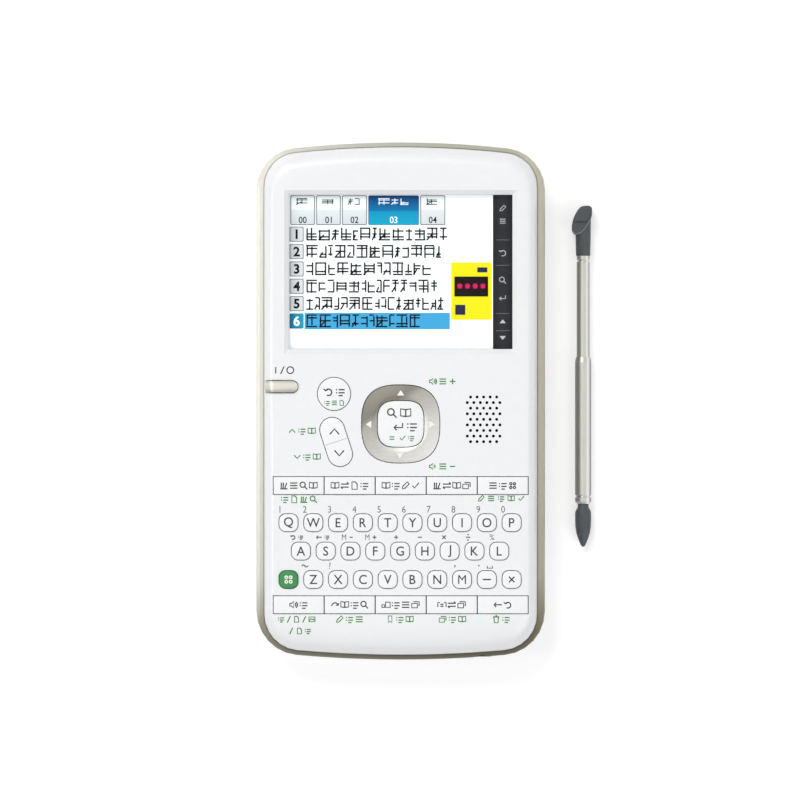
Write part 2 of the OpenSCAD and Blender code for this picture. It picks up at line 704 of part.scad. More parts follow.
module stylus_cap() color(dark_grey) {
    y0 = mouth_y + tube_out;
    neck = barrel_r - 0.05;
    translate([pen_x, y0, barrel_r]) {
        rotate([-90, 0, 0]) cylinder(r1 = neck - 0.25, r2 = neck, h = cap_l * 0.7, $fn = 48);
        // Flat hook that the finger nail draws out
        translate([0, 0, -neck]) linear_extrude(2 * neck) polygon([
            [-neck * 0.7, cap_l * 0.38], [-neck * 1.35, cap_l * 0.5], [-neck * 1.4, cap_l * 0.72],
            [-neck * 0.9, cap_l * 0.9], [neck * 0.1, cap_l], [neck * 1.15, cap_l],
            [neck * 1.1, cap_l * 0.86], [neck * 0.95, cap_l * 0.4]]);
        // Ledge on the hook
        translate([-neck * 1.2, cap_l * 0.66, neck - 0.05]) cube([neck * 1.4, 0.7, 0.35]);
    }
}

rear_cover();
rim_band();
front_cover();
battery_cover();
battery_cells();
main_board();
key_sheet();
lcd_panel();
touch_panel();
speaker();
earphone_jack();
case_screws();
for (row = [0:len(LETTER_ROWS) - 1], i = [0:len(LETTER_ROWS[row]) - 1])
    letter_key(row, i, LETTER_ROWS[row][i] == "function" ? green : white);
for (i = [1:BAR_COUNT]) {
    function_bar(i, -upper_bars_y);
    function_bar(i, -lower_bars_y);
}
back_key();
page_rocker();
cursor_ring();
enter_key();
power_key();
stylus_barrel();
stylus_tip();
stylus_tube();
stylus_cap();
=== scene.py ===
import math
import random

import bmesh
import bpy
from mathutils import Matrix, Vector
from mathutils.bvhtree import BVHTree


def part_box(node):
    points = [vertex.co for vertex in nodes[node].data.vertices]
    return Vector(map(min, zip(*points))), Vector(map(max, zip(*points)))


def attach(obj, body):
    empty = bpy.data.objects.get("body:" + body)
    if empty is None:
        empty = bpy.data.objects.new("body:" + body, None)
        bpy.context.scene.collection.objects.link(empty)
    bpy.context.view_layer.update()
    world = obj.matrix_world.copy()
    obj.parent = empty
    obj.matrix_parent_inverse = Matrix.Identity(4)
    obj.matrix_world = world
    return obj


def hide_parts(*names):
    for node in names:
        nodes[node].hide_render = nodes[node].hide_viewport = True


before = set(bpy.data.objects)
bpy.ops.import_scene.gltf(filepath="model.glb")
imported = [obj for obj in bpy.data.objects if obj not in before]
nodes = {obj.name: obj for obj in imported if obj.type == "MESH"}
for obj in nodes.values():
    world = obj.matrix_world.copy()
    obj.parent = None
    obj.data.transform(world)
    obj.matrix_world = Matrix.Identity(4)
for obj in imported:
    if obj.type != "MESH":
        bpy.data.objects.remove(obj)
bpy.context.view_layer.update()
mm = 0.001
home = "housing"  # the body that carries everything which doesn't move
scene = bpy.context.scene
print("frame loaded")

# camera and room

view = {
    "width": 192 * mm,      # width of the picture at the height of the front
    "centre": (-0.17 * mm, 0.24 * mm),
    "distance": 3.0,
    "front": 17.2 * mm,
    "sensor": 36,
    "clipStart": 0.05,
    "clipEnd": 20,
}


def makeCamera():
    data = bpy.data.cameras.new("camera")
    data.sensor_width = view["sensor"]
    data.lens = view["sensor"] * view["distance"] / view["width"]
    data.clip_start = view["clipStart"]
    data.clip_end = view["clipEnd"]
    camera = bpy.data.objects.new("camera", data)
    camera.location = (view["centre"][0], view["centre"][1], view["front"] + view["distance"])
    scene.collection.objects.link(camera)
    scene.camera = camera


room = {
    "floorSize": 4.0,
    "floorDrop": 0.2 * mm,
    "floorColour": (0.8, 0.8, 0.8, 1),
    "floorGlow": 0.4,       # added for the camera, so that the lit floor is white
    "ambient": 0.5,
    "lamps": [
        # name, place, size, watts
        ("lampTop", (-0.4, 0.85, 1.1), 0.7, 7.6),
        ("lampSide", (-1.0, -0.1, 0.8), 0.5, 2.6),
        ("lampFill", (0.75, -0.6, 0.9), 0.8, 3.6),
    ],
}


def seenDirectly(tree):
    # 1 for what the camera, a reflection or a clear panel sees, and 0 for the light on the part
    path = tree.nodes.new("ShaderNodeLightPath")
    seen = path.outputs["Is Camera Ray"]
    for ray in ("Is Glossy Ray", "Is Transmission Ray"):
        either = tree.nodes.new("ShaderNodeMath")
        either.operation = "MAXIMUM"
        tree.links.new(seen, either.inputs[0])
        tree.links.new(path.outputs[ray], either.inputs[1])
        seen = either.outputs[0]
    return seen


def makeWorld():
    world = bpy.data.worlds.new("studio")
    world.use_nodes = True
    tree = world.node_tree
    tree.nodes.clear()
    ambient = tree.nodes.new("ShaderNodeBackground")
    ambient.inputs["Strength"].default_value = room["ambient"]
    backdrop = tree.nodes.new("ShaderNodeBackground")
    for shader in (ambient, backdrop):
        shader.inputs["Color"].default_value = (1, 1, 1, 1)
    mix = tree.nodes.new("ShaderNodeMixShader")
    out = tree.nodes.new("ShaderNodeOutputWorld")
    tree.links.new(seenDirectly(tree), mix.inputs[0])
    tree.links.new(ambient.outputs[0], mix.inputs[1])
    tree.links.new(backdrop.outputs[0], mix.inputs[2])
    tree.links.new(mix.outputs[0], out.inputs[0])
    scene.world = world


def makeFloor():
    half = room["floorSize"] / 2
    corners = [(x * half, y * half, -room["floorDrop"]) for x, y in ((-1, -1), (1, -1), (1, 1), (-1, 1))]
    mesh = bpy.data.meshes.new("floor")
    mesh.from_pydata(corners, [], [(0, 1, 2, 3)])
    floor = bpy.data.objects.new("floor", mesh)
    scene.collection.objects.link(floor)
    paint = bpy.data.materials.new("floorPaint")
    paint.use_nodes = True
    tree = paint.node_tree
    tree.nodes.clear()
    matt = tree.nodes.new("ShaderNodeBsdfDiffuse")
    matt.inputs["Color"].default_value = room["floorColour"]
    glow = tree.nodes.new("ShaderNodeEmission")
    strength = tree.nodes.new("ShaderNodeMath")
    strength.operation = "MULTIPLY"
    strength.inputs[1].default_value = room["floorGlow"]
    tree.links.new(seenDirectly(tree), strength.inputs[0])
    tree.links.new(strength.outputs[0], glow.inputs["Strength"])
    add = tree.nodes.new("ShaderNodeAddShader")
    out = tree.nodes.new("ShaderNodeOutputMaterial")
    tree.links.new(matt.outputs[0], add.inputs[0])
    tree.links.new(glow.outputs[0], add.inputs[1])
    tree.links.new(add.outputs[0], out.inputs[0])
    mesh.materials.append(paint)


def makeLamps():
    for name, place, size, watts in room["lamps"]:
        data = bpy.data.lights.new(name, "AREA")
        data.shape = "DISK"
        data.size = size
        data.energy = watts
        lamp = bpy.data.objects.new(name, data)
        lamp.location = place
        lamp.rotation_euler = (-Vector(place)).to_track_quat("-Z", "Y").to_euler()
        scene.collection.objects.link(lamp)


scene.view_settings.view_transform = "Standard"
makeCamera()
makeWorld()
makeFloor()
makeLamps()
print("camera and room made")

# finishes

alongX = (1, 0, 0)
alongY = (0, 1, 0)


def shade(red, green, blue):
    # a colour as the eye sees it on a screen, in linear light
    def one(value):
        part = value / 255
        return part / 12.92 if part <= 0.04045 else ((part + 0.055) / 1.055) ** 2.4
    return (one(red), one(green), one(blue), 1)


def tones(*stops):
    # each stop is its place from 0 to 1 and its colour
    return [(at, shade(red, green, blue)) for at, red, green, blue in stops]


def plain(red, green, blue):
    return tones((0, red, green, blue), (1, red, green, blue))


def newFinish(name):
    finish = bpy.data.materials.new(name)
    finish.use_nodes = True
    return finish, finish.node_tree, finish.node_tree.nodes["Principled BSDF"]


def placeOn(tree, stretch=(1, 1, 1)):
    # the piece's own coordinates in millimetres, drawn out along an axis where stretch is small
    coords = tree.nodes.new("ShaderNodeTexCoord")
    mapping = tree.nodes.new("ShaderNodeMapping")
    mapping.inputs["Scale"].default_value = [part / mm for part in stretch]
    tree.links.new(coords.outputs["Object"], mapping.inputs["Vector"])
    return mapping.outputs[0]


def grain(tree, scale, detail=3, stretch=(1, 1, 1)):
    noise = tree.nodes.new("ShaderNodeTexNoise")
    noise.inputs["Scale"].default_value = scale
    noise.inputs["Detail"].default_value = detail
    tree.links.new(placeOn(tree, stretch), noise.inputs["Vector"])
    return noise.outputs["Fac"]


def ramp(tree, value, stops):
    node = tree.nodes.new("ShaderNodeValToRGB")
    elements = node.color_ramp.elements
    for index, (at, colour) in enumerate(stops):
        element = elements[index] if index < 2 else elements.new(at)
        element.position = at
        element.color = colour
    tree.links.new(value, node.inputs[0])
    return node.outputs["Color"]


def spread(tree, value, low, high, fromLow=0, fromHigh=1):
    node = tree.nodes.new("ShaderNodeMapRange")
    node.inputs["From Min"].default_value = fromLow
    node.inputs["From Max"].default_value = fromHigh
    node.inputs["To Min"].default_value = low
    node.inputs["To Max"].default_value = high
    tree.links.new(value, node.inputs["Value"])
    return node.outputs["Result"]


def bump(tree, value, depth, shader, strength=0.6):
    node = tree.nodes.new("ShaderNodeBump")
    node.inputs["Distance"].default_value = depth
    node.inputs["Strength"].default_value = strength
    tree.links.new(value, node.inputs["Height"])
    tree.links.new(node.outputs[0], shader.inputs["Normal"])


def alongWay(tree, way, low, high):
    # runs from 0 to 1 between two places along a direction, in millimetres
    along = tree.nodes.new("ShaderNodeVectorMath")
    along.operation = "DOT_PRODUCT"
    along.inputs[1].default_value = Vector(way).normalized()
    tree.links.new(placeOn(tree), along.inputs[0])
    return spread(tree, along.outputs["Value"], 0, 1, low, high)


def multiplied(tree, one, other):
    mix = tree.nodes.new("ShaderNodeMix")
    mix.data_type = "RGBA"
    mix.blend_type = "MULTIPLY"
    mix.inputs["Factor"].default_value = 1
    tree.links.new(one, mix.inputs["A"])
    tree.links.new(other, mix.inputs["B"])
    return mix.outputs["Result"]


def tinted(colour, factor):
    return tuple(min(part * factor, 1) for part in colour[:3]) + (1,)


plastic = {
    "cloud": (0.3, 0.7),        # the part of the noise over which the tone changes
    "smoother": 0.05,           # how far the roughness strays to either side
    "rougher": 0.07,
    "coatRough": 0.12,
    "specular": 0.45,
}


def moulded(name, colour, rough=0.35, variation=0.02, scale=0.6, texture=6, depth=0.004 * mm, coat=0):
    finish, tree, shader = newFinish(name)
    low, high = plastic["cloud"]
    stops = [(low, tinted(colour, 1 - variation)), (high, tinted(colour, 1 + variation))]
    tree.links.new(ramp(tree, grain(tree, scale), stops), shader.inputs["Base Color"])
    fine = grain(tree, texture, 2)
    roughness = spread(tree, fine, rough - plastic["smoother"], rough + plastic["rougher"])
    tree.links.new(roughness, shader.inputs["Roughness"])
    bump(tree, fine, depth, shader)
    shader.inputs["Coat Weight"].default_value = coat
    shader.inputs["Coat Roughness"].default_value = plastic["coatRough"]
    shader.inputs["Specular IOR Level"].default_value = plastic["specular"]
    return finish


metal = {
    "lines": [(0.3, (0.9, 0.9, 0.9, 1)), (0.7, (1, 1, 1, 1))],
    "stray": 0.07,
    "depth": 0.002 * mm,
}


def brushed(name, stops, way, low, high, rough=0.32, stretch=(0.04, 1, 1), scale=5, across=None):
    # satin metal whose tone runs along one or two directions, with fine drawn lines; on the band, ring, power
    # key and pen that tone is painted light and shade
    finish, tree, shader = newFinish(name)
    tone = ramp(tree, alongWay(tree, way, low, high), stops)
    if across:
        crossStops, crossWay, crossLow, crossHigh = across
        crossTone = ramp(tree, alongWay(tree, crossWay, crossLow, crossHigh), crossStops)
        tone = multiplied(tree, tone, crossTone)
    lines = grain(tree, scale, 4, stretch)
    tone = multiplied(tree, tone, ramp(tree, lines, metal["lines"]))
    tree.links.new(tone, shader.inputs["Base Color"])
    roughness = spread(tree, lines, rough - metal["stray"], rough + metal["stray"])
    tree.links.new(roughness, shader.inputs["Roughness"])
    bump(tree, lines, metal["depth"], shader)
    shader.inputs["Metallic"].default_value = 1
    return finish


film = {
    "colour": (0.97, 0.98, 0.985, 1),
    "rough": (0.04, 0.09),
    "bending": 1.22,            # index of refraction
}


def clearFilm(name):
    finish, tree, shader = newFinish(name)
    tree.nodes.remove(shader)
    through = tree.nodes.new("ShaderNodeBsdfTransparent")
    through.inputs["Color"].default_value = film["colour"]
    shine = tree.nodes.new("ShaderNodeBsdfGlossy")
    tree.links.new(spread(tree, grain(tree, 2), *film["rough"]), shine.inputs["Roughness"])
    fresnel = tree.nodes.new("ShaderNodeFresnel")
    fresnel.inputs["IOR"].default_value = film["bending"]
    # only the outer side shines, so that the panel stays clear aslant
    sides = tree.nodes.new("ShaderNodeNewGeometry")
    outside = tree.nodes.new("ShaderNodeMath")
    outside.operation = "SUBTRACT"
    outside.inputs[0].default_value = 1
    tree.links.new(sides.outputs["Backfacing"], outside.inputs[1])
    share = tree.nodes.new("ShaderNodeMath")
    share.operation = "MULTIPLY"
    tree.links.new(fresnel.outputs[0], share.inputs[0])
    tree.links.new(outside.outputs[0], share.inputs[1])
    mix = tree.nodes.new("ShaderNodeMixShader")
    tree.links.new(share.outputs[0], mix.inputs[0])
    tree.links.new(through.outputs[0], mix.inputs[1])
    tree.links.new(shine.outputs[0], mix.inputs[2])
    tree.links.new(mix.outputs[0], tree.nodes["Material Output"].inputs[0])
    return finish


colours = {
    "case": shade(242, 243, 245),
    "key": shade(246, 247, 248),
    "greenKey": shade(58, 142, 80),
    "print": shade(52, 52, 54),
    "digit": shade(105, 95, 92),
    "greenPrint": shade(48, 130, 48),
    "cream": shade(250, 248, 240),
    "penPlastic": shade(70, 75, 79),
    "penPlastic": shade(70, 75, 79),
    # painted highlight: the cap's lip is lighter than the cap, as a lit edge
    "penLipHighlight": shade(112, 118, 122),
    # painted shade along the page rocker's fold
    "foldShade": shade(206, 207, 208),
    "sheet": shade(84, 86, 88),
    "board": shade(40, 104, 66),
    "black": shade(34, 34, 36),
    "cell": shade(120, 124, 130),
    "display": shade(206, 208, 210),
}
metals = {
    # the band's tone is painted light and shade: dark at the bottom end where it rolls away from the light,
    # bright along its length, a little darker at the top end
    "band": tones((0.0, 112, 108, 95), (0.06, 142, 138, 123), (0.16, 205, 203, 191),
                  (0.4, 220, 218, 207), (0.97, 232, 230, 219), (1.0, 190, 189, 177)),
    # painted shade across the band, darker towards the right side
    "bandShadeAcross": [(0, (1, 1, 1, 1)), (0.3, (0.94, 0.94, 0.93, 1)), (1, (0.62, 0.6, 0.53, 1))],
    # the ring's tone is painted light and shade: darker towards the upper left, lighter towards the lower
    # right
    "ring": tones((0.0, 124, 121, 112), (0.19, 125, 122, 113), (0.3, 165, 161, 153),
                  (0.8, 202, 201, 196), (1.0, 204, 202, 199)),
    # the power key's tone is a painted highlight across its middle, with painted shade towards both ends
    "power": tones((0.0, 150, 146, 134), (0.35, 205, 202, 192), (0.75, 214, 211, 203), (1.0, 176, 172, 160)),
    "screw": tones((0, 150, 150, 148), (1, 190, 190, 186)),
    # painted reflections on the pen's polished tubes: dark edges, bright bands and a bright line near one
    # side
    "pen": tones((0.0, 96, 94, 88), (0.12, 160, 158, 151), (0.3, 186, 185, 179), (0.42, 214, 213, 207),
                 (0.52, 204, 203, 197), (0.66, 196, 196, 190), (0.8, 240, 240, 235), (0.9, 176, 174, 167),
                 (1.0, 92, 90, 84)),
}


def penAxis():
    # x and z of the line through the pen's middle
    low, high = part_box("stylus_barrel")
    return (low[0] + high[0]) / 2, (low[2] + high[2]) / 2


def penMetalPaintedReflections(name, radius):
    # polished tube: painted reflections, dark and bright bands, run along it
    axis = penAxis()[0] / mm
    return brushed(name, metals["pen"], alongX, axis - radius, axis + radius,
                   rough=0.3, stretch=(1, 0.02, 1), scale=6)


finishes = {
    "case": moulded("caseWhite", colours["case"], rough=0.3, variation=0.008, coat=0.25),
    "back": moulded("backWhite", tinted(colours["case"], 0.96), rough=0.42, variation=0.012,
                    depth=0.01 * mm),
    "key": moulded("keyWhite", colours["key"], rough=0.4, variation=0.008),
    "greenKey": moulded("keyGreen", colours["greenKey"], rough=0.38, variation=0.05),
    "print": moulded("printGrey", colours["print"], rough=0.5, variation=0.05),
    "digit": moulded("printBrown", colours["digit"], rough=0.5, variation=0.05),
    "greenPrint": moulded("printGreen", colours["greenPrint"], rough=0.5, variation=0.05),
    "cream": moulded("printCream", colours["cream"], rough=0.45),
    "foldShade": moulded("foldShadeGrey", colours["foldShade"], rough=0.5),
    "penPlastic": moulded("penPlastic", colours["penPlastic"], rough=0.5, variation=0.08, depth=0.02 * mm),
    "penLipHighlight": moulded("penLipHighlight", colours["penLipHighlight"], rough=0.45, variation=0.05),
    "sheet": moulded("sheetRubber", colours["sheet"], rough=0.7, variation=0.05),
    "board": moulded("boardGreen", colours["board"], rough=0.45, variation=0.1, scale=2),
    "black": moulded("blackPlastic", colours["black"], rough=0.5, variation=0.1),
    "cell": moulded("cellSleeve", colours["cell"], rough=0.3, variation=0.05),
    "display": moulded("displayFrame", colours["display"], rough=0.5, variation=0.03),
    "clear": clearFilm("clearPanel"),
    "band": brushed("bandMetalPaintedLight", metals["band"], alongY, -62.2, 62.2, rough=0.36, stretch=(1, 0.05, 1),
                    across=(metals["bandShadeAcross"], alongX, -34.7, 34.7)),
    "ring": brushed("ringMetalPaintedLight", metals["ring"], (1, -1.5, 0), -4, 12, rough=0.5,
                    stretch=(0.1, 1, 1), scale=4),
    "power": brushed("powerMetalPaintedHighlight", metals["power"], alongY, 2.05, 4.85, rough=0.45),
    "screw": brushed("screwSteel", metals["screw"], alongX, -30, 30),
    "barrel": penMetalPaintedReflections("barrelMetalPaintedReflections", radius=1.95),
    "tube": penMetalPaintedReflections("tubeMetalPaintedReflections", radius=1.6),
}

cadFinishes = {
    "rear_cover": "back", "battery_cover": "back", "rim_band": "band", "front_cover": "case",
    "battery_cells": "cell", "main_board": "board", "key_sheet": "sheet", "lcd_panel": "display",
    "touch_panel": "clear", "speaker": "black", "earphone_jack": "black", "case_screws": "screw",
    "cursor_ring": "ring", "power_key": "power", "key_function": "greenKey",
    "stylus_barrel": "barrel", "stylus_tube": "tube", "stylus_tip": "penPlastic", "stylus_cap": "penPlastic",
}

softEdges = {
    "starts": ("key_", "upper_", "lower_"),
    "others": ("back_key", "page_rocker", "enter_key", "battery_cover"),
    "width": 0.1 * mm,
    "weld": 0.002 * mm,
    "angle": 40,
}
rolled = {
    # shapes of many narrow facets, which are shaded as round
    "nodes": ("rear_cover", "front_cover", "rim_band", "battery_cover", "cursor_ring", "power_key"),
    "weld": 0.002 * mm,
    "angle": 33,
}


def smoothNodes():
    # marks every face smooth as a modifier, and leaves the mesh itself alone
    group = bpy.data.node_groups.new("smoothFaces", "GeometryNodeTree")
    group.interface.new_socket("Geometry", in_out="INPUT", socket_type="NodeSocketGeometry")
    group.interface.new_socket("Geometry", in_out="OUTPUT", socket_type="NodeSocketGeometry")
    start = group.nodes.new("NodeGroupInput")
    smooth = group.nodes.new("GeometryNodeSetShadeSmooth")
    end = group.nodes.new("NodeGroupOutput")
    group.links.new(start.outputs[0], smooth.inputs["Geometry"])
    group.links.new(smooth.outputs[0], end.inputs[0])
    return group


def weldSeams(piece, name, reach):
    weld = piece.modifiers.new(name, "WELD")
    weld.merge_threshold = reach


def roundEdges(piece, width, segments, angle):
    edge = piece.modifiers.new("edge", "BEVEL")
    edge.width = width
    edge.segments = segments
    edge.limit_method = "ANGLE"
    edge.angle_limit = math.radians(angle)


def shadeRound(node, smoothFaces):
    weldSeams(node, "rollWeld", rolled["weld"])
    split = node.modifiers.new("rollSplit", "EDGE_SPLIT")
    split.split_angle = math.radians(rolled["angle"])
    split.use_edge_sharp = False
    smooth = node.modifiers.new("rollSmooth", "NODES")
    smooth.node_group = smoothFaces
    node.modifiers.new("rollNormals", "WEIGHTED_NORMAL")


def isSoft(name):
    if name == "key_sheet":
        return False
    return name.startswith(softEdges["starts"]) or name in softEdges["others"]


def dressFrame():
    smoothFaces = smoothNodes()
    for name, node in nodes.items():
        finish = finishes[cadFinishes.get(name, "key")]
        for place in node.material_slots:
            place.material = finish
        if isSoft(name):
            weldSeams(node, "weld", softEdges["weld"])
            roundEdges(node, softEdges["width"], 2, softEdges["angle"])
        if name in rolled["nodes"]:
            shadeRound(node, smoothFaces)


dressFrame()
print("frame dressed")

# prints: flat marks that lie on what is under them, and move with it

drape = {
    "above": 0.05,              # the height from which a point looks down
    "lift": 0.008 * mm,
    "step": 0.55 * mm,          # the longest edge that isn't cut up
    "rounds": 4,
}
surfaces = {}


def surfaceAt(node, x, y):
    if node not in surfaces:
        surfaces[node] = BVHTree.FromObject(nodes[node], bpy.context.evaluated_depsgraph_get())
    hit = surfaces[node].ray_cast(Vector((x, y, drape["above"])), Vector((0, 0, -1)))
    return hit[0].z if hit[0] else None


def fromCurve(curve):
    # the curve's mesh, with its helper object taken away again
    helper = bpy.data.objects.new(curve.name, curve)
    scene.collection.objects.link(helper)
    made = helper.evaluated_get(bpy.context.evaluated_depsgraph_get())
    mesh = bpy.data.meshes.new_from_object(made)
    bpy.data.objects.remove(helper)
    return mesh


def refine(mesh):
    # cuts long edges up, so that the mesh can follow what it lies on
    work = bmesh.new()
    work.from_mesh(mesh)
    bmesh.ops.triangulate(work, faces=work.faces)
    for _ in range(drape["rounds"]):
        long = [edge for edge in work.edges if edge.calc_length() > drape["step"]]
        if long:
            bmesh.ops.subdivide_edges(work, edges=long, cuts=1)
            bmesh.ops.triangulate(work, faces=work.faces)
    work.to_mesh(mesh)
    work.free()


def newPiece(mesh, name, body, finish):
    mesh.name = name
    mesh.materials.clear()
    mesh.materials.append(finishes[finish])
    piece = bpy.data.objects.new(name, mesh)
    scene.collection.objects.link(piece)
    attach(piece, body)
    return piece


def settle(mesh, name, body, finish, on=None, z=None, lift=drape["lift"]):
    # lays the mesh on a node, or at a height; past the node's edge a point takes the height before it
    if on:
        refine(mesh)
    under = view["front"] if on else z
    for point in mesh.vertices:
        found = surfaceAt(on, point.co.x, point.co.y) if on else None
        if found is not None:
            under = found
        point.co.z += under + lift
    newPiece(mesh, name, body, finish)


def printOn(node, name, mesh, finish, lift=drape["lift"]):
    body = home if node == "front_cover" else node
    settle(mesh, name, body, finish, on=node, lift=lift)


def lettering(words, size, x, y, weight=0.0, wide=1.0):
    curve = bpy.data.curves.new("lettering", "FONT")
    curve.body = words
    curve.size = size / mm  # drawn a thousand times larger, where outlines fill cleanly
    curve.align_x = "CENTER"
    curve.align_y = "CENTER"
    curve.offset = weight / mm
    curve.extrude = 0.006
    curve.resolution_u = 4
    mesh = fromCurve(curve)
    for point in mesh.vertices:
        point.co *= mm
    xs = [point.co.x for point in mesh.vertices]
    ys = [point.co.y for point in mesh.vertices]
    shift = Vector(((min(xs) + max(xs)) / 2, (min(ys) + max(ys)) / 2, 0))
    for point in mesh.vertices:
        point.co -= shift
        point.co.x = point.co.x * wide + x
        point.co.y += y
    return mesh


def penLines(lines, width, flat=0.1):
    # rounded strokes of one width, pressed flat; a closed line ends where it starts
    curve = bpy.data.curves.new("penLines", "CURVE")
    curve.dimensions = "3D"
    curve.bevel_depth = width / 2
    curve.bevel_resolution = 1
    curve.use_fill_caps = True
    for line in lines:
        closed = len(line) > 2 and (Vector(line[0]) - Vector(line[-1])).length < 1e-9
        points = line[:-1] if closed else line
        spline = curve.splines.new("POLY")
        spline.points.add(len(points) - 1)
        for point, place in zip(spline.points, points):
            point.co = (place[0], place[1], 0, 1)
        spline.use_cyclic_u = closed
    mesh = fromCurve(curve)
    for point in mesh.vertices:
        point.co.z *= flat
    return mesh


def fills(shapes, thick=0.012 * mm):
    # closed outlines as thin plates
    work = bmesh.new()
    for shape in shapes:
        low = [work.verts.new((x, y, 0)) for x, y in shape]
        face = work.faces.new(low)
        face.normal_update()
        if face.normal.z < 0:
            face.normal_flip()
        raised = bmesh.ops.extrude_face_region(work, geom=[face], use_keep_orig=True)
        for item in raised["geom"]:
            if isinstance(item, bmesh.types.BMVert):
                item.co.z += thick
    bmesh.ops.recalc_face_normals(work, faces=work.faces)
    mesh = bpy.data.meshes.new("fills")
    work.to_mesh(mesh)
    work.free()
    return mesh


def rect(x0, y0, x1, y1):
    return [(x0, y0), (x1, y0), (x1, y1), (x0, y1)]


def arc(x, y, r, start, end, steps=14):
    angles = [math.radians(start + (end - start) * step / steps) for step in range(steps + 1)]
    return [(x + r * math.cos(angle), y + r * math.sin(angle)) for angle in angles]


def disc(x, y, r, steps=24):
    return arc(x, y, r, 0, 360, steps)[:-1]


def rounded(x0, y0, x1, y1, r):
    centres = [(x1 - r, y1 - r), (x0 + r, y1 - r), (x0 + r, y0 + r), (x1 - r, y0 + r)]
    points = []
    for quarter, (x, y) in enumerate(centres):
        points += arc(x, y, r, 90 * quarter, 90 * quarter + 90, 5)
    return points


def closed(points):
    return points + [points[0]]


def inMetres(shapes):
    return [[(x * mm, y * mm) for x, y in shape] for shape in shapes]


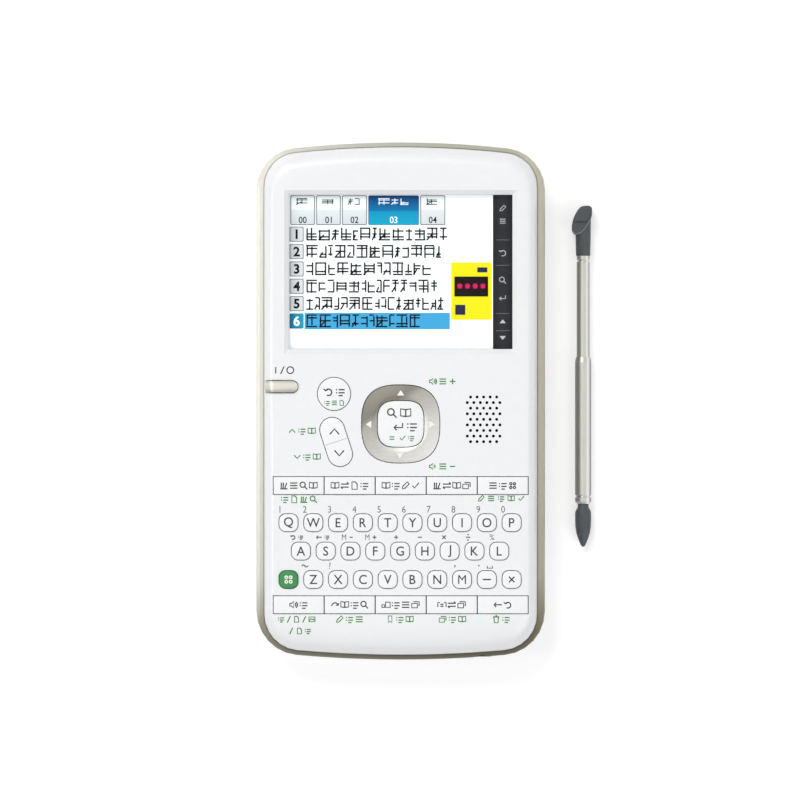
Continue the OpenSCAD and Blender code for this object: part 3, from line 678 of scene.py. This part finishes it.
# plain signs, drawn in a square from -1 to 1
signs = {
    "search": [closed(disc(-0.2, 0.2, 0.6)), [(0.24, -0.24), (0.85, -0.85)]],
    "swap": [[(-0.9, 0.35), (0.9, 0.35)], [(0.5, 0.75), (0.9, 0.35)], [(-0.9, -0.35), (0.9, -0.35)],
             [(-0.5, -0.75), (-0.9, -0.35)]],
    "book": [[(0, -0.6), (0, 0.6)],
             [(0, 0.6), (-0.9, 0.75), (-0.9, -0.5), (0, -0.6), (0.9, -0.5), (0.9, 0.75), (0, 0.6)]],
    "shelf": [[(-0.85, -0.75), (0.85, -0.75)], [(-0.6, -0.7), (-0.6, 0.7)], [(-0.15, -0.7), (-0.15, 0.7)],
              [(0.2, -0.7), (0.65, 0.65)]],
    "menu": [[(-0.85, 0.6), (0.85, 0.6)], [(-0.85, 0), (0.85, 0)], [(-0.85, -0.6), (0.85, -0.6)]],
    "sound": [[(-0.9, 0.3), (-0.5, 0.3), (0, 0.75), (0, -0.75), (-0.5, -0.3), (-0.9, -0.3), (-0.9, 0.3)],
              arc(0, 0, 0.5, -50, 50, 6), arc(0, 0, 0.88, -50, 50, 8)],
    "quiet": [[(-0.9, 0.3), (-0.5, 0.3), (0, 0.75), (0, -0.75), (-0.5, -0.3), (-0.9, -0.3), (-0.9, 0.3)],
              arc(0, 0, 0.5, -50, 50, 6)],
    "jump": [arc(0, -0.3, 0.75, 180, 20, 12), [(0.25, -0.1), (0.72, -0.12), (0.85, 0.38)]],
    "sizes": [[(-0.95, -0.6), (-0.35, -0.6), (-0.35, 0), (-0.95, 0), (-0.95, -0.6)],
              [(-0.1, -0.6), (0.95, -0.6), (0.95, 0.6), (-0.1, 0.6), (-0.1, -0.6)]],
    "turn": [[(-0.95, -0.5), (-0.95, 0.5), (-0.5, 0.5)], [(0.95, -0.5), (0.95, 0.5), (0.5, 0.5)],
             [(-0.35, 0.1), (0.35, 0.1)], [(-0.35, -0.35), (0.35, -0.35)]],
    "back": [[(0.9, 0), (-0.9, 0)], [(-0.4, 0.5), (-0.9, 0), (-0.4, -0.5)]],
    "return": [[(0.7, 0.6), (0.7, -0.2), (-0.8, -0.2)], [(-0.35, 0.25), (-0.8, -0.2), (-0.35, -0.65)]],
    "undo": [arc(0.05, -0.1, 0.65, 150, -120, 14), [(-0.9, 0.6), (-0.52, 0.2), (-0.05, 0.5)]],
    "lines": [[(-0.9, 0.45), (-0.65, 0.45)], [(-0.35, 0.45), (0.9, 0.45)], [(-0.9, -0.2), (-0.65, -0.2)],
              [(-0.35, -0.2), (0.9, -0.2)], [(-0.35, -0.8), (0.5, -0.8)]],
    "marker": [[(-0.8, -0.8), (-0.6, -0.1), (0.4, 0.85), (0.85, 0.4), (-0.1, -0.6), (-0.8, -0.8)]],
    "ribbon": [[(-0.45, 0.85), (-0.45, -0.85), (0, -0.4), (0.45, -0.85), (0.45, 0.85), (-0.45, 0.85)]],
    "cards": [[(-0.85, -0.7), (0.45, -0.7), (0.45, 0.3), (-0.85, 0.3), (-0.85, -0.7)],
              [(-0.45, 0.7), (0.85, 0.7), (0.85, -0.3)]],
    "bin": [[(-0.8, 0.6), (0.8, 0.6)], [(-0.6, 0.6), (-0.45, -0.85), (0.45, -0.85), (0.6, 0.6)],
            [(-0.2, 0.9), (0.2, 0.9)]],
    "picture": [[(-0.9, -0.7), (0.9, -0.7), (0.9, 0.7), (-0.9, 0.7), (-0.9, -0.7)],
                [(-0.9, -0.45), (-0.3, 0.2), (0.1, -0.2), (0.4, 0.1), (0.9, -0.4)]],
    "note": [[(-0.6, -0.85), (0.6, -0.85), (0.6, 0.4), (0.15, 0.85), (-0.6, 0.85), (-0.6, -0.85)]],
    "on": [[(0, -0.9), (0, 0.9)]],
    "off": [closed(disc(0, 0, 0.85))],
    "slash": [[(-0.45, -0.95), (0.45, 0.95)]],
    "plus": [[(-0.7, 0), (0.7, 0)], [(0, -0.7), (0, 0.7)]],
    "minus": [[(-0.7, 0), (0.7, 0)]],
    "times": [[(-0.6, -0.6), (0.6, 0.6)], [(-0.6, 0.6), (0.6, -0.6)]],
    "equals": [[(-0.6, 0.3), (0.6, 0.3)], [(-0.6, -0.3), (0.6, -0.3)]],
    "tick": [[(-0.7, 0), (-0.2, -0.55), (0.8, 0.65)]],
    "wave": [arc(-0.4, -0.1, 0.4, 180, 20, 8) + arc(0.4, 0.15, 0.42, 200, 360, 8)],
    "space": [[(-0.8, 0.4), (-0.8, -0.3), (0.8, -0.3), (0.8, 0.4)]],
    "up": [[(-0.75, -0.4), (0, 0.4), (0.75, -0.4)]],
    "down": [[(-0.75, 0.4), (0, -0.4), (0.75, 0.4)]],
    "grid": [closed(disc(x, y, 0.26, 10)) for y in (0.42, -0.42) for x in (-0.42, 0.42)],
}


def sign(name, x, y, half, high=None):
    tall = high or half
    return [[(x + px * half, y + py * tall) for px, py in line] for line in signs[name]]


def signRow(names, x, y, pitch=2.35, half=0.96):
    # a row of signs, centred on x
    start = x - pitch * (len(names) - 1) / 2
    return [(name, start + index * pitch, y, half) for index, name in enumerate(names)]


def drawSigns(node, name, wanted, finish, width):
    # wanted holds a sign's name, its centre and half its size, in millimetres
    lines = []
    for item in wanted:
        lines += sign(*item)
    printOn(node, name, penLines(inMetres(lines), width * mm), finish)


def middle(node):
    low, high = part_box(node)
    return (low[0] + high[0]) / 2, (low[1] + high[1]) / 2


# letters, digits and signs on the keys

legend = {
    "letter": 3.15 * mm,
    "letterWeight": 0.022 * mm,
    "letterWide": 0.94,
    "digit": 2.3 * mm,
    "digitWide": 0.9,
    "digitLeft": 2.06 * mm,     # from the middle of the key
    "digitUp": 3.2 * mm,
    "keyStroke": 0.33,
    "barStroke": 0.29,
    "barSign": 1.04,
    "frontStroke": 0.28,
}
keySigns = [
    # key, sign, half its size, finish
    ("key_function", "grid", 1.25, "cream"),
    ("key_dash", "minus", 1.4, "print"),
    ("key_clear", "times", 1.1, "print"),
]


def drawLetters():
    for letter in "qwertyuiopasdfghjklzxcvbnm":
        node = "key_" + letter
        x, y = middle(node)
        weight = 0 if letter == "m" else legend["letterWeight"]  # a heavier m closes up
        mesh = lettering(letter.upper(), legend["letter"], x, y, weight, legend["letterWide"])
        printOn(node, "letter_" + letter, mesh, "print")
    for node, mark, half, finish in keySigns:
        x, y = middle(node)
        drawSigns(node, "sign_" + node, [(mark, x / mm, y / mm, half)], finish, legend["keyStroke"])
    for letter, digit in zip("qwertyuiop", "1234567890"):
        x, y = middle("key_" + letter)
        x -= legend["digitLeft"]
        y += legend["digitUp"]
        mesh = lettering(digit, legend["digit"], x, y, 0, legend["digitWide"])
        printOn("front_cover", "digit_" + digit, mesh, "digit")


barSigns = {
    "upper_bar_1": ["shelf", "menu", "search", "book"], "upper_bar_2": ["book", "swap", "note", "lines"],
    "upper_bar_3": ["book", "lines", "marker", "tick"], "upper_bar_4": ["shelf", "swap", "book", "cards"],
    "upper_bar_5": ["menu", "lines", "grid"],
    "lower_bar_1": ["sound", "lines"], "lower_bar_2": ["jump", "book", "lines", "search"],
    "lower_bar_3": ["sizes", "lines", "menu", "cards"], "lower_bar_4": ["turn", "swap", "cards"],
    "lower_bar_5": ["back", "undo"],
}


def drawBars():
    for node, names in barSigns.items():
        x, y = middle(node)
        row = signRow(names, x / mm, y / mm, half=legend["barSign"])
        drawSigns(node, "sign_" + node, row, "print", legend["barStroke"])


frontSigns = {
    # finish: sign, x, y, half its size
    "print": [("on", -30.0, 7.4, 0.85), ("slash", -28.4, 7.4, 0.95), ("off", -26.5, 7.4, 0.95)],
    "digit": [
        ("minus", -11.9, -32.7, 0.55), ("plus", -6.3, -32.7, 0.65), ("plus", -1.1, -32.7, 0.7),
        ("minus", 4.6, -32.7, 0.7), ("times", 10.4, -32.7, 0.7), ("minus", 16.15, -32.7, 0.75),
        ("wave", -23.0, -39.6, 0.85), ("space", 21.4, -39.9, 0.75),
        ("undo", -25.9, -32.7, 0.7), ("lines", -24.0, -32.7, 0.6), ("back", -19.6, -32.7, 0.7),
        ("lines", -17.7, -32.7, 0.6),
    ],
    "greenPrint": (
        signRow(["sound", "menu", "plus"], 10.1, 4.7) + signRow(["quiet", "menu", "minus"], 10.1, -15.7)
        + signRow(["up", "lines", "book"], -23.7, -7.2) + signRow(["down", "lines", "book"], -22.5, -13.4)
        + signRow(["lines", "note", "shelf", "search"], -24.4, -23.6, 2.3)
        + signRow(["marker", "menu", "lines", "book", "tick"], 24.1, -23.4, 2.4, 0.85)
        + signRow(["lines", "slash", "note", "slash", "picture"], -25.0, -52.4, 1.85, 0.8)
        + signRow(["slash", "note", "lines"], -24.3, -55.2, 2.0, 0.8)
        + signRow(["marker", "lines", "menu"], -12.3, -52.4)
        + signRow(["ribbon", "lines", "book"], -0.2, -52.4)
        + signRow(["cards", "lines", "book"], 12.4, -52.4) + signRow(["bin", "lines"], 24.1, -52.4)
    ),
}
frontLetters = [
    # name, letter, size, x, y, weight, width
    ("front_question", "?", 2.1, -17.0, -39.5, 0, 0.9),
    ("front_percent", "%", 2.0, 21.9, -32.7, 0, 0.85),
    ("front_comma", ",", 2.6, 13.0, -39.7, 0.02, 1.0),
    ("front_memoryLess", "M", 2.0, -13.6, -32.7, 0, 0.8),
    ("front_memoryMore", "M", 2.0, -8.0, -32.7, 0, 0.8),
]
dots = {"radius": 0.2, "places": [(16.15, -32.05), (16.15, -33.35), (18.75, -39.5)]}


def drawFront():
    for finish, wanted in frontSigns.items():
        drawSigns("front_cover", "front_" + finish, wanted, finish, legend["frontStroke"])
    shapes = [disc(x * mm, y * mm, dots["radius"] * mm, 12) for x, y in dots["places"]]
    printOn("front_cover", "front_dots", fills(shapes), "digit")
    for name, letter, size, x, y, weight, wide in frontLetters:
        mesh = lettering(letter, size * mm, x * mm, y * mm, weight * mm, wide)
        printOn("front_cover", name, mesh, "digit")


drawLetters()
drawBars()
drawFront()
print("legends drawn")

# cursor ring, enter, back and page keys

arrows = {
    "reach": 0.75,              # from the middle to the tip
    "base": 0.7,                # how far the base lies behind the middle, as a share of the reach
    "half": 0.85,
    "lift": 0.01 * mm,
    "places": [(0, 1.85, 90), (-7.6, -5.6, 180), (7.4, -5.6, 0), (-0.2, -13.0, 270)],
}


def drawArrows():
    base = -arrows["reach"] * arrows["base"]
    outline = [(arrows["reach"], 0), (base, arrows["half"]), (base, -arrows["half"])]
    shapes = []
    for x, y, angle in arrows["places"]:
        cos = math.cos(math.radians(angle))
        sin = math.sin(math.radians(angle))
        shapes.append([(x + px * cos - py * sin, y + px * sin + py * cos) for px, py in outline])
    printOn("cursor_ring", "ring_arrows", fills(inMetres(shapes)), "cream", arrows["lift"])


controlSigns = [
    # node, name, signs, finish, width of the strokes
    ("enter_key", "enter_sign",
     [("search", -2.1, -2.9, 1.3), ("book", 1.2, -2.9, 1.35), ("return", -0.5, -6.1, 1.35),
      ("lines", 2.7, -6.1, 1.3)], "print", 0.33),
    ("enter_key", "enter_equals",
     [("equals", -2.1, -8.9, 0.95), ("tick", 0.4, -8.9, 0.85), ("lines", 2.5, -8.9, 0.8)],
     "greenPrint", 0.26),
    ("back_key", "back_sign", [("undo", -17.4, 2.2, 1.2), ("lines", -14.5, 2.2, 1.15)], "print", 0.33),
    ("back_key", "back_list", signRow(["lines", "menu", "note"], -15.9, -0.45, 1.75, 0.7),
     "greenPrint", 0.24),
    ("page_rocker", "rocker_signs",
     [("up", -15.9, -7.35, 1.5, 1.6), ("down", -14.75, -12.5, 1.5, 1.6)], "print", 0.34),
]
# a light grey line painted along the rocker's fold, as the fold's shade
fold = {"line": [(-18.1, -10.6), (-12.9, -8.95)], "width": 0.22, "flat": 0.16}


def drawControls():
    for item in controlSigns:
        drawSigns(*item)
    mesh = penLines(inMetres([fold["line"]]), fold["width"] * mm, fold["flat"])
    printOn("page_rocker", "rocker_fold_shade", mesh, "foldShade")


drawArrows()
drawControls()
print("control keys drawn")

# the pen's two dark ends, which stand for the solid ones

pen = {
    # distance along the pen and radius
    "tip": [(0, 0), (0, 1.35), (0.5, 1.3), (0.95, 1.38), (1.4, 1.68), (1.8, 1.88), (2.3, 1.94), (4.2, 1.94),
            (5.6, 1.87), (6.9, 1.68), (8.1, 1.32), (9.0, 0.98), (9.7, 0.68), (10.1, 0.46), (10.3, 0.24),
            (10.38, 0)],
    "post": [(0, 0), (0, 1.6), (0.15, 1.74), (4, 1.82), (9, 1.9), (10.4, 1.7), (11, 0)],
    # seen from the front, from the pen's axis and the cap's foot
    "hook": [(2.14, 12.1), (-0.1, 12.1), (-1.1, 11.5), (-2.3, 9.3), (-2.75, 7.4), (-2.72, 5.9), (-2.2, 5.1),
             (-1.3, 5.0), (-0.3, 5.5), (0.7, 6.7), (1.9, 8.9), (2.14, 10.2)],
    "ledge": [(2.0, 11.9), (-0.05, 11.9), (-1.0, 11.3), (-2.15, 9.2), (-2.35, 8.1), (-1, 8.35), (0.9, 8.1),
              (1.5, 9.4), (2.0, 10.4)],
    "lip": [(2.0, 10.2), (1.75, 9.0), (0.62, 7.0), (-0.35, 5.75), (-1.3, 5.25), (-2.1, 5.35), (-2.5, 6.0)],
    "hookLow": 0.9,
    "hookTop": 3.88,
    "ledgeSunk": 0.5,           # how deep the ledge stands in the hook
    "ledgeTop": 4.5,
    "lipWidth": 0.36,
    "lipFlat": 0.9,
    "steps": 40,
    "edge": 0.22,
    "edgeAngle": 50,
}


def penPiece(mesh, name, body, finish="penPlastic"):
    for face in mesh.polygons:
        face.use_smooth = True
    return newPiece(mesh, name, body, finish)


def aboutPen(profile, foot, way):
    # a round form about the pen's axis; way is 1 towards the cap and -1 towards the tip
    x, z = penAxis()
    turns = [2 * math.pi * step / pen["steps"] for step in range(pen["steps"])]
    work = bmesh.new()
    rings = []
    for along, radius in profile:
        y = foot + way * along * mm
        r = radius * mm
        places = [(x + r * math.cos(turn), y, z + r * math.sin(turn)) for turn in turns]
        if radius == 0:
            places = [(x, y, z)]
        rings.append([work.verts.new(place) for place in places])
    for one, other in zip(rings, rings[1:]):
        for step in range(pen["steps"]):
            after = (step + 1) % pen["steps"]
            if len(one) == 1:
                work.faces.new((one[0], other[step], other[after]))
            elif len(other) == 1:
                work.faces.new((one[after], one[step], other[0]))
            else:
                work.faces.new((one[after], one[step], other[step], other[after]))
    bmesh.ops.recalc_face_normals(work, faces=work.faces)
    mesh = bpy.data.meshes.new("round")
    work.to_mesh(mesh)
    work.free()
    return mesh


def cornersCut(points, rounds=2):
    for _ in range(rounds):
        cut = []
        for one, other in zip(points, points[1:] + points[:1]):
            cut.append((one[0] * 0.75 + other[0] * 0.25, one[1] * 0.75 + other[1] * 0.25))
            cut.append((one[0] * 0.25 + other[0] * 0.75, one[1] * 0.25 + other[1] * 0.75))
        points = cut
    return points


def softPlate(outline, low, high, name, axis, foot):
    shape = [(axis + x * mm, foot + y * mm) for x, y in cornersCut(outline)]
    mesh = fills([shape], (high - low) * mm)
    for point in mesh.vertices:
        point.co.z += low * mm
    piece = penPiece(mesh, name, "stylus_slider")
    roundEdges(piece, pen["edge"] * mm, 3, pen["edgeAngle"])
    piece.modifiers.new("normals", "WEIGHTED_NORMAL")
    return piece


def drawPen():
    axis = penAxis()[0]
    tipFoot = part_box("stylus_barrel")[0][1]
    tip = penPiece(aboutPen(pen["tip"], tipFoot, -1), "pen_tip", home)
    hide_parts("stylus_tip")
    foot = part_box("stylus_cap")[0][1]
    post = penPiece(aboutPen(pen["post"], foot, 1), "pen_cap_post", "stylus_slider")
    hook = softPlate(pen["hook"], pen["hookLow"], pen["hookTop"], "pen_cap_hook", axis, foot)
    softPlate(pen["ledge"], pen["hookTop"] - pen["ledgeSunk"], pen["ledgeTop"], "pen_cap_ledge", axis, foot)
    line = [(axis + x * mm, foot + y * mm) for x, y in pen["lip"]]
    lip = penLines([line], pen["lipWidth"] * mm, pen["lipFlat"])
    for point in lip.vertices:
        point.co.z += pen["hookTop"] * mm
    # the lip is drawn lighter than the cap, a painted highlight along its edge
    penPiece(lip, "pen_cap_lip", "stylus_slider", "penLipHighlight")
    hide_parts("stylus_cap")
    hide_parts("stylus_cap")


drawPen()
print("pen drawn")

# the display's picture, in the recess under the clear panel

picture = {
    "floor": 14.6 * mm,
    "layer": 0.03 * mm,
    "filled": 0.9,              # the share of a layer that a sheet fills
    "flat": 0.08,
    "left": -26.8, "right": 22.15, "low": 12.5, "high": 49.5,
}


def heightOf(layer):
    return picture["floor"] + layer * picture["layer"]


def sheetOf(name, shapes, layer, finish):
    mesh = fills(inMetres(shapes), picture["layer"] * picture["filled"])
    settle(mesh, name, home, finish, z=heightOf(layer), lift=0)


def wordOf(name, words, size, x, y, layer, finish, weight, wide):
    mesh = lettering(words, size * mm, x * mm, y * mm, weight * mm, wide)
    settle(mesh, name, home, finish, z=heightOf(layer))


def strokesOf(name, lines, width, layer, finish):
    mesh = penLines(inMetres(lines), width * mm, picture["flat"])
    settle(mesh, name, home, finish, z=heightOf(layer))


marks = {
    "widths": (1.6, 2.1, 3.0, 3.2),
    "broad": 2.5,               # a mark of this width or more has more strokes
    "left": 0.16,
    "right": 0.2,
    "levels": (0.08, 0.3, 0.52, 0.74, 0.95),
    "uprights": (0.1, 0.5, 0.9),
    "stray": 0.2,
    "slants": 0.4,              # the share that has a slanting stroke
}


def textMarks(left, right, low, high, chance):
    # a line of upright marks, each a few strokes in its own square, that stand for a line of words
    def stray():
        return chance.uniform(0, marks["stray"])
    lines = []
    tall = high - low
    x = left
    while x + marks["widths"][0] < right:
        wide = min(chance.choice(marks["widths"]), right - x)
        isBroad = wide >= marks["broad"]
        x0 = x + marks["left"]
        x1 = x + wide - marks["right"]
        for share in sorted(chance.sample(marks["levels"], 3 if isBroad else 2)):
            y = low + tall * share
            lines.append([(x0 + stray(), y), (x1 - stray(), y)])
        for share in chance.sample(marks["uprights"], 2 if isBroad else 1):
            across = x0 + (x1 - x0) * share
            lines.append([(across, low + tall * stray()), (across, high - tall * stray())])
        if chance.random() < marks["slants"]:
            lines.append([(x0, low + tall * 0.05), (x0 + (x1 - x0) * 0.45, low + tall * 0.45)])
        x += wide
    return lines


tabs = {
    # left, right, number
    "places": [(-26.4, -20.7, "00"), (-20.2, -14.5, "01"), (-14.0, -8.2, "02"), (-7.7, 4.3, "03"),
               (4.8, 10.6, "04")],
    "live": "03",
    "low": 42.36, "high": 49.3,
    "rim": 0.12, "topRim": 0.1, "inset": 0.1,
    "rimRadius": 0.4, "radius": 0.3,
    "numberSize": 2.2, "numberWeight": 0.02, "numberWide": 0.9, "numberAt": 43.5,
    "marksLow": 47.1, "marksHigh": 48.7, "marksWidth": 0.2,
    "marksReach": 1.75, "liveReach": 3.9,
    "seed": 11,
}


def drawTabs():
    low = tabs["low"]
    high = tabs["high"]
    rim = tabs["rim"]
    inset = tabs["inset"]
    edges = []
    faces = []
    live = []
    for left, right, number in tabs["places"]:
        edges.append(rounded(left - rim, low - rim, right + rim, high + tabs["topRim"], tabs["rimRadius"]))
        if number == tabs["live"]:
            live.append(rounded(left, low, right, high, tabs["radius"]))
        else:
            faces.append(rounded(left + inset, low + inset, right - inset, high - inset, tabs["radius"]))
    sheetOf("tab_edges", edges, 1, "tabEdge")
    sheetOf("tab_faces", faces, 2, "tabFace")
    sheetOf("tab_live", live, 2, "tabLive")

    chance = random.Random(tabs["seed"])
    for left, right, number in tabs["places"]:
        centre = (left + right) / 2
        isLive = number == tabs["live"]
        ink = "inkWhite" if isLive else "inkBlack"
        wordOf("tab_number_" + number, number, tabs["numberSize"], centre, tabs["numberAt"], 3, ink,
               tabs["numberWeight"], tabs["numberWide"])
        reach = tabs["liveReach"] if isLive else tabs["marksReach"]
        lines = textMarks(centre - reach, centre + reach, tabs["marksLow"], tabs["marksHigh"], chance)
        strokesOf("tab_marks_" + number, lines, tabs["marksWidth"], 3, ink)


rows = {
    "high": 41.9, "pitch": 4.17,
    "left": -26.7, "right": -23.3, "buttonHigh": 3.67,
    "rim": 0.22, "radius": 0.3,
    "numberSize": 3.1, "numberWeight": 0.1, "numberX": -25.0,
    "marksLeft": -22.9, "marksInset": 0.25, "marksWidth": 0.34,
    "marksEnds": [11.4, 10.9, 7.5, 10.4, 10.6, 6.3],
    "live": 5,                  # the row that is picked out, counted from 0
    "blueLeft": -23.1, "blueRight": 11.8, "blueHigh": 3.95, "blueDrop": 0.15,
    "seed": 5,
}


def drawRows():
    left = rows["left"]
    right = rows["right"]
    rim = rows["rim"]
    blueLow = rows["high"] - rows["live"] * rows["pitch"] - rows["buttonHigh"] - rows["blueDrop"]
    blue = rect(rows["blueLeft"], blueLow, rows["blueRight"], blueLow + rows["blueHigh"])
    sheetOf("row_highlight", [blue], 1, "rowBlue")
    chance = random.Random(rows["seed"])
    for row, end in enumerate(rows["marksEnds"]):
        high = rows["high"] - row * rows["pitch"]
        low = high - rows["buttonHigh"]
        number = str(row + 1)
        isLive = row == rows["live"]
        edge = "buttonTeal" if isLive else "buttonEdge"
        face = "buttonTeal" if isLive else "buttonFace"
        ink = "inkWhite" if isLive else "inkBlack"
        sheetOf("button_rim_" + number, [rounded(left, low, right, high, rows["radius"])], 1, edge)
        inner = rounded(left + rim, low + rim, right - rim, high - rim, rows["radius"])
        sheetOf("button_face_" + number, [inner], 2, face)
        wordOf("button_number_" + number, number, rows["numberSize"], rows["numberX"], (low + high) / 2, 3,
               ink, rows["numberWeight"], 1.0)
        lines = textMarks(rows["marksLeft"], end, low + rows["marksInset"], high - rows["marksInset"], chance)
        strokesOf("row_marks_" + number, lines, rows["marksWidth"], 3, "inkBlack")


card = {
    "left": 12.1, "low": 19.5, "right": 21.8, "high": 33.3,
    # the rest is measured from the card's edges
    "panelSide": 0.8, "panelLow": 5.6, "panelTop": 3.4,
    "dotLeft": 2.1, "dotLow": 8.1, "dotPitch": 1.85, "dotRadius": 0.62, "dotCount": 4,
    "squareNear": 1, "squareFar": 3.4, "squareLow": 1.2, "squareHigh": 3.6, "squareDeep": 2.4,
}


def drawCard():
    x0 = card["left"]
    y0 = card["low"]
    x1 = card["right"]
    y1 = card["high"]
    side = card["panelSide"]
    near = card["squareNear"]
    far = card["squareFar"]
    sheetOf("card_ground", [rect(x0, y0, x1, y1)], 1, "cardYellow")
    panel = rect(x0 + side, y0 + card["panelLow"], x1 - side, y1 - card["panelTop"])
    sheetOf("card_panel", [panel], 2, "cardDark")
    circles = []
    for index in range(card["dotCount"]):
        x = x0 + card["dotLeft"] + card["dotPitch"] * index
        circles.append(disc(x, y0 + card["dotLow"], card["dotRadius"], 14))
    sheetOf("card_dots", circles, 3, "cardPink")
    lower = rect(x0 + near, y0 + card["squareLow"], x0 + far, y0 + card["squareHigh"])
    upper = rect(x1 - far, y1 - card["squareDeep"], x1 - near, y1 - card["squareLow"])
    sheetOf("card_squares", [lower, upper], 2, "cardNavy")


strip = {
    "left": 22.15, "right": 26.8, "radius": 0.25,
    "dividers": [38.7, 32.6, 21.0, 16.9],
    "dividerLeft": 22.9, "dividerRight": 26.1, "dividerHalf": 0.07,
    "middle": 24.5,
    "triangles": [(19.1, 1), (15.2, -1)],       # height, and which way it points
    "triangleHalf": 0.75, "triangleBase": 0.4, "triangleTip": 0.5,
    # sign, height, half its size
    "signs": [("marker", 46.3, 0.85), ("menu", 43.2, 0.8), ("undo", 35.6, 1.0), ("search", 29.0, 0.95),
              ("return", 24.8, 0.95)],
    "stroke": 0.2,
}


def drawStrip():
    ground = rounded(strip["left"], picture["low"], strip["right"], picture["high"], strip["radius"])
    sheetOf("strip_ground", [ground], 0, "stripDark")
    left = strip["dividerLeft"]
    right = strip["dividerRight"]
    thin = strip["dividerHalf"]
    dividers = [rect(left, y - thin, right, y + thin) for y in strip["dividers"]]
    sheetOf("strip_lines", dividers, 1, "stripLine")
    x = strip["middle"]
    half = strip["triangleHalf"]
    triangles = []
    for y, way in strip["triangles"]:
        base = y - strip["triangleBase"] * way
        triangles.append([(x - half, base), (x + half, base), (x, y + strip["triangleTip"] * way)])
    sheetOf("strip_triangles", triangles, 1, "stripPale")
    lines = []
    for name, y, size in strip["signs"]:
        lines += sign(name, x, y, size)
    strokesOf("strip_signs", lines, strip["stroke"], 1, "stripPale")


def lit(name, stops, way=alongY, low=0, high=1, glow=0.24):
    # part of the picture, which gives some light of its own
    finish, tree, shader = newFinish(name)
    tone = ramp(tree, alongWay(tree, way, low, high), stops)
    tree.links.new(tone, shader.inputs["Base Color"])
    tree.links.new(tone, shader.inputs["Emission Color"])
    shader.inputs["Emission Strength"].default_value = glow
    shader.inputs["Specular IOR Level"].default_value = 0
    tree.links.new(spread(tree, grain(tree, 9, 0), 0.55, 0.65), shader.inputs["Roughness"])
    finishes[name] = finish


lit("inkBlack", plain(22, 22, 26), glow=0.1)
lit("inkWhite", plain(250, 252, 252), glow=0.35)
lit("picturePaper", tones((0, 252, 253, 253), (1, 247, 250, 251)),
    alongY, picture["low"], picture["high"], glow=0.35)
lit("tabFace", tones((0, 214, 219, 220), (0.5, 226, 230, 230), (0.52, 243, 247, 245), (1, 240, 246, 242)),
    alongY, tabs["low"], tabs["high"])
lit("tabLive", tones((0, 28, 168, 200), (0.46, 24, 150, 190), (0.48, 24, 118, 170), (1, 20, 62, 120)),
    alongY, tabs["low"], tabs["high"])
lit("tabEdge", plain(120, 126, 130), glow=0.2)
lit("buttonFace", tones((0, 198, 201, 202), (1, 224, 227, 227)), alongX, rows["left"], rows["right"])
lit("buttonEdge", plain(138, 142, 144), glow=0.2)
lit("buttonTeal", tones((0, 14, 110, 148), (1, 46, 158, 186)), alongX, rows["left"], rows["right"])
lit("rowBlue", plain(70, 168, 216))
lit("cardYellow", plain(246, 232, 30))
lit("cardDark", plain(30, 22, 24))
lit("cardPink", plain(214, 36, 96))
lit("cardNavy", plain(44, 46, 78))
lit("stripDark", tones((0, 44, 44, 47), (0.5, 58, 58, 61), (1, 50, 50, 53)),
    alongX, strip["left"], strip["right"], glow=0.0)
lit("stripPale", plain(205, 206, 207), glow=0.1)
lit("stripLine", plain(120, 120, 122), glow=0.05)

paper = rect(picture["left"], picture["low"], picture["right"], picture["high"])
sheetOf("picture_paper", [paper], 0, "picturePaper")
drawTabs()
drawRows()
drawCard()
drawStrip()
print("picture drawn")
